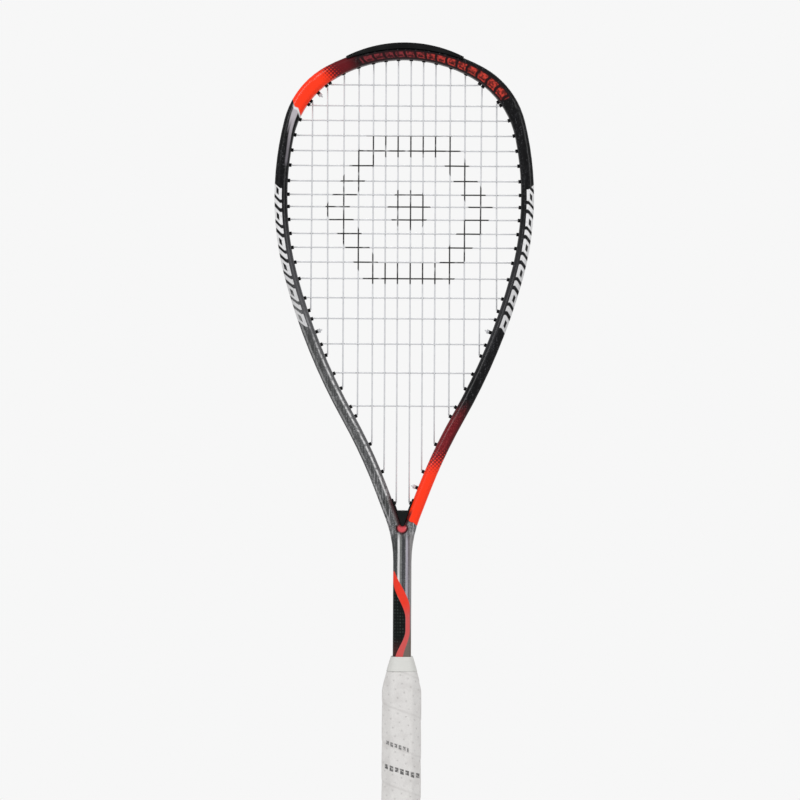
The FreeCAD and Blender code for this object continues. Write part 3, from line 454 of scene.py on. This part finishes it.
    def material(self):
        """Every coat in order, then clear lacquer over a faint diagonal weave."""
        for coat in (self.ground, self.left_leg, self.fork_streaks, self.painted_highlight_line, self.side_bars,
                     self.crown_blocks, self.red_corner, self.red_leg, self.fork, self.shaft):
            coat()
        one, two = (self.x + self.z * 0.6) / 2.4, (self.z * 0.6 - self.x) / 2.4
        cloth = (one.share() - 0.5).size() + (two.share() - 0.5).size()
        grain = self.shader.noise(self.point, 2.2, 4.0)
        self.shader.bump(cloth * 0.35 + grain * 0.4, 0.02, 0.6)
        return self.shader.finish(base_color=self.colour, roughness=grain * 0.16 + 0.24,
                                  coat_weight=0.15, coat_roughness=0.12, specular_ior_level=0.1)


# ---------------------------------------------------------------- plastic, string, foam, metal

def moulded_plastic(name, tone, grain_size=3.0, marks=0.0):
    """Moulded nylon: fine spark-eroded grain, faint flow, and scratches where marks are asked for."""
    shader = Shader(name)
    x, y, z, point = shader.position()
    grain = shader.noise(point, grain_size, 3.0)
    flow = shader.noise(point, 0.08, 3.0)
    scratch = shader.noise(shader.join(x * 0.15, y * 2.2, z * 0.15), 1.0, 4.0)
    lighter = tuple(min(1.0, c * 2.2 + 0.01) for c in tone[:3]) + (1.0,)
    base = shader.mix(tone, lighter, flow.ramp(0.35, 0.75) * 0.4 + scratch.ramp(0.62, 0.78) * marks)
    shader.bump(grain + scratch.ramp(0.6, 0.7) * 0.5 * marks, 0.03, 0.7)
    return shader.finish(base_color=base, roughness=grain * 0.22 + 0.34, specular_ior_level=0.12)


HEX_MIDDLE = (4.0, 549.0)   # the printed hexagon: across and level
HEX_RING = (50.0, 70.0)     # from its middle to the corners of the ring, inner and outer
HEX_CORE = 19.0             # from its middle to the corners of the solid core


def strung(name):
    """Pale multifilament with a twist, painted shade in the grooves of the twist, and stencil ink where a
    hexagon falls on the bed.
    """
    shader = Shader(name)
    x, y, z, point = shader.position()
    across, up = (x - HEX_MIDDLE[0]).size(), (z - HEX_MIDDLE[1]).size()
    hexagon = (across + up / math.sqrt(3)).at_least(up * 2 / math.sqrt(3))
    ink = hexagon.between(*HEX_RING, 0.8).at_least(1 - hexagon.above(HEX_CORE, 0.8))
    patchy = shader.noise(point, 1.4, 3.0).ramp(0.1, 0.45)
    patchy = patchy * shader.noise(point, 0.11, 2.0).ramp(0.2, 0.48)
    twist = ((x + z + y * 1.5) / 1.1).share()
    shade = shader.noise(point, 0.25, 2.0)
    plain = shader.mix(colour(198, 199, 202), colour(224, 225, 228), shade)
    # a darker line along each groove of the twist: painted shade
    plain = shader.mix(plain, colour(160, 161, 166), twist.between(0.0, 0.2, 0.1) * 0.35)
    base = shader.mix(plain, colour(6, 6, 7), ink * patchy)
    shader.bump(twist.between(0.1, 0.75, 0.3), 0.03, 0.5)
    return shader.finish(base_color=base, roughness=ink * 0.25 + 0.3, specular_ior_level=0.5,
                         coat_weight=0.2, coat_roughness=0.15)


def foam(name):
    """Cut polyurethane foam with open cells, darker in their hollows: painted shade."""
    shader = Shader(name)
    *_, point = shader.position()
    cells = Field(shader, shader.cells(point, 1.6))
    # darker towards the middle of each cell, where the bump sinks: painted shade
    base = shader.mix(colour(196, 176, 132), colour(226, 210, 170), cells.ramp(0.1, 0.6))
    shader.bump(cells, 0.15, 0.8)
    return shader.finish(base_color=base, roughness=cells * 0.1 + 0.82)


def steel(name):
    """Bright steel wire with fine upright streaks."""
    shader = Shader(name)
    x, y, z, _ = shader.position()
    brushed = shader.noise(shader.join(x * 6, y * 6, z * 0.4), 1.0, 3.0)
    base = shader.mix(colour(150, 152, 156), colour(202, 204, 208), brushed)
    shader.bump(brushed, 0.01, 0.5)
    return shader.finish(base_color=base, metallic=1.0, roughness=brushed * 0.2 + 0.22)


def tape_cloth(name):
    """Thin vinyl tape, slightly stretched, over the top of the grip."""
    shader = Shader(name)
    x, y, z, point = shader.position()
    stretch = shader.noise(shader.join(x * 0.25, y * 0.25, z * 2.2), 1.0, 3.0)
    grain = shader.noise(point, 4.0, 2.0)
    base = shader.mix(colour(208, 208, 204), colour(219, 219, 215), stretch)
    shader.bump(stretch * 0.7 + grain * 0.3, 0.12, 0.6)
    return shader.finish(base_color=base, roughness=grain * 0.2 + 0.42, specular_ior_level=0.35)


# ---------------------------------------------------------------- the wrapped grip

GRIP_LEVELS = [  # height, width, depth, bevel of the eight-sided outside
    (3.0, 36.0, 30.6, 7.65),
    (22.0, 32.4, 27.0, 7.65),
    (154.7, 32.4, 27.0, 7.65),
    (183.2, 17.6, 21.6, 3.4),
]
SHOULDER = 1.25         # how round the taper towards the shaft is; 1 would be straight
SHARPNESS = (22, 9)     # how sharp the eight corners are, up to the taper and at the tape
WRAP_PITCH = 32.0       # from one turn of the wrap to the next, up the handle
WRAP_LIFT = 0.45        # one turn lies this far over the one below it
WRAP_EDGE = 2.0         # width of the rounded edge of a turn
WRAP_ENDS = 0.5         # the wrap draws in this far at both ends
WRAP_TUCKS = (1.6, 0.8)     # and this far where it closes under, bottom and top
TAPE_LEVELS = (171.2, 183.2)
TAPE_LIFT = 0.25        # the tape's outside stands this far off the grip
TAPE_TUCKS = (0.3, 1.2)     # and goes this far into it where it closes under, bottom and top
GRIP_GIRTH = 95.0       # about once round the grip
GRIP_STEP = 0.75        # between the rings of the two meshes
GRIP_SIDES = 144        # steps round the two meshes
HOLE_PITCH, HOLE_ROWS = 8.6, 6.4    # the perforations, along the wrap and across it
HOLE_MARGINS = (3.4, 2.4)   # none are punched this near the wrap's lower and upper edges
HOLE_RADIUS, DIMPLE_RADIUS = 0.5, 0.9


def grip_section(level):
    """Width, depth and bevel at a level, straight between the given ones but for the round shoulder."""
    for below, above in zip(GRIP_LEVELS, GRIP_LEVELS[1:]):
        if level <= above[0]:
            share = (level - below[0]) / (above[0] - below[0])
            if above is GRIP_LEVELS[-1]:
                share = share ** SHOULDER
            return [a + (b - a) * share for a, b in zip(below[1:], above[1:])]
    return GRIP_LEVELS[-1][1:]


def grip_radius(angle, level):
    """Distance out to the eight-sided outside, its corners eased, and rounder over the shoulder."""
    width, depth, bevel = grip_section(level)
    taper_start = GRIP_LEVELS[-2][0]
    climb = (level - taper_start) / (TAPE_LEVELS[0] - taper_start)
    sharpness = SHARPNESS[0] + (SHARPNESS[1] - SHARPNESS[0]) * min(max(climb, 0.0), 1.0)
    diagonal = (width / 2 + depth / 2 - bevel) / math.sqrt(2)
    total = 0.0
    for side in range(8):
        reach = (width / 2, diagonal, depth / 2, diagonal)[side % 4]
        turned = math.cos(angle - side * math.pi / 4)
        if turned > 0:
            total += (turned / reach) ** sharpness
    return total ** (-1 / sharpness)


def wrap_relief(across):
    """Height of the wrap's surface over its width: a rounded lower edge, then a slow fall."""
    edge = WRAP_EDGE / WRAP_PITCH
    if across < edge:
        return WRAP_LIFT * (math.sqrt(1 - (1 - across / edge) ** 2) - 1)
    fall = (across - edge) / (1 - edge)
    return -WRAP_LIFT * fall ** 3


def around_handle(name, rings):
    """A smooth skin through rings, each a level and a distance out for every step round it."""
    vertices, faces, maps = [], [], []
    for level, radii in rings:
        for step, radius in enumerate(radii):
            angle = step / GRIP_SIDES * math.tau
            vertices.append((radius * math.cos(angle) * MM, radius * math.sin(angle) * MM, level * MM))
    for row in range(len(rings) - 1):
        for step in range(GRIP_SIDES):
            after = (step + 1) % GRIP_SIDES
            one, two = row * GRIP_SIDES, (row + 1) * GRIP_SIDES
            faces.append((one + step, one + after, two + after, two + step))
            corners = ((step, row), (step + 1, row), (step + 1, row + 1), (step, row + 1))
            maps += [(turn / GRIP_SIDES * GRIP_GIRTH, rings[ring][0]) for turn, ring in corners]

    mesh = bpy.data.meshes.new(name)
    mesh.from_pydata(vertices, [], faces)
    for loop, place in zip(mesh.uv_layers.new(name="wrap").data, maps):
        loop.uv = place
    for polygon in mesh.polygons:
        polygon.use_smooth = True
    mesh.validate()
    piece = bpy.data.objects.new(name, mesh)
    bpy.context.collection.objects.link(piece)
    return piece


def wrapped_grip():
    """Overlapping turns of padded tape, tucked under at both ends."""
    low, high = GRIP_LEVELS[0][0], GRIP_LEVELS[-1][0]

    def ring(level, shrink, relief=1.0):
        radii = []
        for step in range(GRIP_SIDES):
            turn = step / GRIP_SIDES
            across = ((level - low) / WRAP_PITCH + turn) % 1.0
            radii.append(grip_radius(turn * math.tau, level) - shrink + wrap_relief(across) * relief)
        return level, radii

    rows = round((high - low) / GRIP_STEP)
    body = [ring(low + (high - low) * row / rows, WRAP_ENDS if row in (0, rows) else 0.0)
            for row in range(rows + 1)]
    bottom, top = ring(low, WRAP_TUCKS[0], 0.0), ring(high, WRAP_TUCKS[1], 0.0)
    return around_handle("grip_wrap", [bottom] + body + [top])


def tape_band():
    """The tape that holds down the grip's top end, rounded by the padding under it."""
    low, high = TAPE_LEVELS

    def ring(level, lift):
        turns = [step / GRIP_SIDES for step in range(GRIP_SIDES)]
        return level, [grip_radius(turn * math.tau, level) + lift for turn in turns]

    rows = round((high - low) / GRIP_STEP)
    body = [ring(low + (high - low) * row / rows, TAPE_LIFT) for row in range(rows + 1)]
    bottom, top = ring(low, -TAPE_TUCKS[0]), ring(high, -TAPE_TUCKS[1])
    return around_handle("tape_band", [bottom] + body + [top])


PRINTED_ROWS = [  # centre across, level, slope, half length, half height, pitch of the dashes, ink
    (-3.2, 110.4, 0.33, 9.4, 1.5, 3.4, 96),
    (1.4, 89.6, 0.29, 14.8, 1.9, 4.3, 52),
]
PRINT_START = -40.0     # across; the dashes are counted from here
PRINT_SIDE = -6.0       # the print lies where y is less than this


def grip_material():
    """Off-white perforated polyurethane, tacky and slightly soiled, with painted shade along the seams
    and in the holes, and two printed rows of dashes.
    """
    shader = Shader("grip_polyurethane")
    x, y, z, point = shader.position()
    around, level = shader.surface_map()
    climb = WRAP_PITCH / GRIP_GIRTH
    across = ((level - GRIP_LEVELS[0][0] + around * climb) / WRAP_PITCH).share() * WRAP_PITCH
    along = around - level * climb

    row = across / HOLE_ROWS
    column = (along + row.math("FLOOR") * (HOLE_PITCH / 2)) / HOLE_PITCH
    hole_x, hole_y = (column.share() - 0.5) * HOLE_PITCH, (row.share() - 0.5) * HOLE_ROWS
    from_hole = (hole_x * hole_x + hole_y * hole_y).math("SQRT")
    punched = across.between(HOLE_MARGINS[0], WRAP_PITCH - HOLE_MARGINS[1], 0.3)
    holes = (1 - from_hole.above(HOLE_RADIUS, 0.3)) * punched
    dimples = (1 - from_hole.above(DIMPLE_RADIUS, 1.4)) * punched

    leather = shader.noise(point, 1.1, 5.0, 0.6)
    soil = shader.noise(point, 0.12, 3.0)
    base = shader.mix(colour(220, 218, 216), colour(206, 204, 202), leather.ramp(0.35, 0.7) * 0.5)
    base = shader.mix(base, colour(198, 195, 193), soil.ramp(0.45, 0.7) * 0.4)
    # darker at the rounded lower edge of each turn and just under the next turn: painted shade along the
    # seams
    seam_shade = (1 - across.above(0.9, 1.2)) * 0.2 + across.above(WRAP_PITCH - 0.7, 0.7) * 0.15
    base = shader.mix(base, colour(182, 178, 175), seam_shade)
    # the holes and the dimples round them are darkened: painted shade
    base = shader.mix(base, colour(148, 145, 143), holes * 0.22 + dimples * 0.16)

    front = 1 - y.above(PRINT_SIDE, 1.0)
    worn = shader.noise(point, 0.6, 2.0).ramp(0.3, 0.55) * 0.5 + 0.5
    for centre, middle, slope, half_length, half_height, pitch, ink in PRINTED_ROWS:
        line = z + (x - centre) * slope - middle
        letter = (x - PRINT_START) / pitch
        dash = letter.share().between(0.1, 0.78, 0.14)
        lower = (letter / 2).share().above(0.5, 0.01) * 0.6
        notch = line.between(-0.3, 0.4, 0.3) * (letter * 1.5).share().between(0.1, 0.6, 0.1)
        mark = line.between(lower * -1 - half_height, half_height, 0.5) * (1 - notch * 0.7)
        row_ends = (x - centre).between(-half_length, half_length, 0.3)
        base = shader.mix(base, colour(ink, ink, ink), front * dash * mark * row_ends * worn * 0.9)

    shader.bump(leather * 0.3 - holes * 0.3 - dimples * 0.5, 0.4, 0.8)
    return shader.finish(base_color=base, roughness=leather * 0.2 + 0.5, specular_ior_level=0.3,
                         sheen_weight=0.15, sheen_roughness=0.5)


# ---------------------------------------------------------------- put together

wear(FramePaint().material(), "frame")
wear(moulded_plastic("grommet_nylon", colour(14, 14, 16)), "left_grommet_strip", "right_grommet_strip")
wear(moulded_plastic("bumper_nylon", colour(8, 9, 10), marks=0.4), "bumper_guard")
wear(moulded_plastic("throat_nylon", colour(14, 17, 17), grain_size=2.0, marks=0.4), "throat_grommet")
wear(strung("string_multifilament"), "main_string", "cross_string", "string_knots")
wear(foam("handle_foam"), "left_pallet", "right_pallet", "left_tube_plug", "right_tube_plug")
wear(steel("staple_steel"), "butt_cap_staples", "grip_staple")
wear(moulded_plastic("butt_plastic", colour(28, 28, 30), grain_size=1.6), "butt_cap")

grip = wrapped_grip()
grip.data.materials.append(grip_material())
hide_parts("grip")
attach(grip, "root")
tape = tape_band()
tape.data.materials.append(tape_cloth("tape_vinyl"))
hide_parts("finishing_tape")
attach(tape, "root")


# ---------------------------------------------------------------- floor, light and camera

FLOOR_RADIUS = 0.62
FLOOR_SIDES = 128
FLOOR_DARK, FLOOR_LIGHT = (0.78, 0.78, 0.78, 1), (0.82, 0.82, 0.82, 1)
AIM = (0.0, 0.0, 0.36)      # the lamps point here
SKY = (0.93, 0.93, 0.93, 1)
SKY_SEEN = 1.0              # strength of the sky as the camera sees it
SKY_LIGHT = 0.55            # and as it lights the racket
LENS, SENSOR = 200.0, 36.0
VIEW_WIDTH = 0.656          # what the picture takes in at the racket
CAMERA_ACROSS, CAMERA_LEVEL = -0.0026, 0.3933
CAMERA_ROLL = 0.30          # degrees


def round_floor():
    """A pale disc of paper at the racket's lowest level."""
    turns = [math.tau * side / FLOOR_SIDES for side in range(FLOOR_SIDES)]
    rim = [(FLOOR_RADIUS * math.cos(turn), FLOOR_RADIUS * math.sin(turn), 0.0) for turn in turns]
    mesh = bpy.data.meshes.new("floor")
    mesh.from_pydata(rim, [], [tuple(range(FLOOR_SIDES))])
    floor = bpy.data.objects.new("floor", mesh)
    bpy.context.collection.objects.link(floor)
    shader = Shader("floor_paper")
    fibre = shader.noise(shader.node("ShaderNodeTexCoord").outputs["Object"], 60.0, 3.0)
    tone = shader.mix(FLOOR_DARK, FLOOR_LIGHT, fibre)
    mesh.materials.append(shader.finish(base_color=tone, roughness=0.8))
    return floor


def soft_light(name, place, width, height, watts):
    """A rectangular lamp pointed at the racket."""
    light = bpy.data.lights.new(name, "AREA")
    light.shape = "RECTANGLE"
    light.size, light.size_y = width, height
    light.energy = watts
    lamp = bpy.data.objects.new(name, light)
    lamp.location = place
    lamp.rotation_euler = (Vector(AIM) - Vector(place)).to_track_quat("-Z", "Y").to_euler()
    bpy.context.collection.objects.link(lamp)


def studio_sky():
    """An even sky, bright behind the racket and dimmer in the light that it gives."""
    world = bpy.data.worlds.new("studio")
    bpy.context.scene.world = world
    world.use_nodes = True
    nodes, links = world.node_tree.nodes, world.node_tree.links
    sky = nodes["Background"]
    sky.inputs["Color"].default_value = SKY
    rays = nodes.new("ShaderNodeLightPath")
    strength = nodes.new("ShaderNodeMapRange")
    strength.inputs["To Min"].default_value = SKY_LIGHT
    strength.inputs["To Max"].default_value = SKY_SEEN
    links.new(rays.outputs["Is Camera Ray"], strength.inputs["Value"])
    links.new(strength.outputs["Result"], sky.inputs["Strength"])


def front_camera():
    """The photograph's view: straight on, from far off, and turned by a fraction of a degree."""
    lens = bpy.data.cameras.new("camera")
    lens.lens, lens.sensor_width = LENS, SENSOR
    camera = bpy.data.objects.new("camera", lens)
    camera.location = (CAMERA_ACROSS, -VIEW_WIDTH * LENS / SENSOR, CAMERA_LEVEL)
    camera.rotation_euler = (math.radians(90), 0, 0)
    camera.rotation_euler.rotate_axis("Z", math.radians(CAMERA_ROLL))
    bpy.context.collection.objects.link(camera)
    bpy.context.scene.camera = camera


round_floor()
soft_light("key", (-1.5, -1.9, 1.7), 1.2, 1.2, 34)
soft_light("fill", (1.8, -1.5, 0.9), 1.0, 1.6, 17)
soft_light("back", (0.6, 2.1, 1.5), 1.6, 1.0, 18)
studio_sky()
front_camera()
bpy.context.scene.view_settings.view_transform = "Standard"
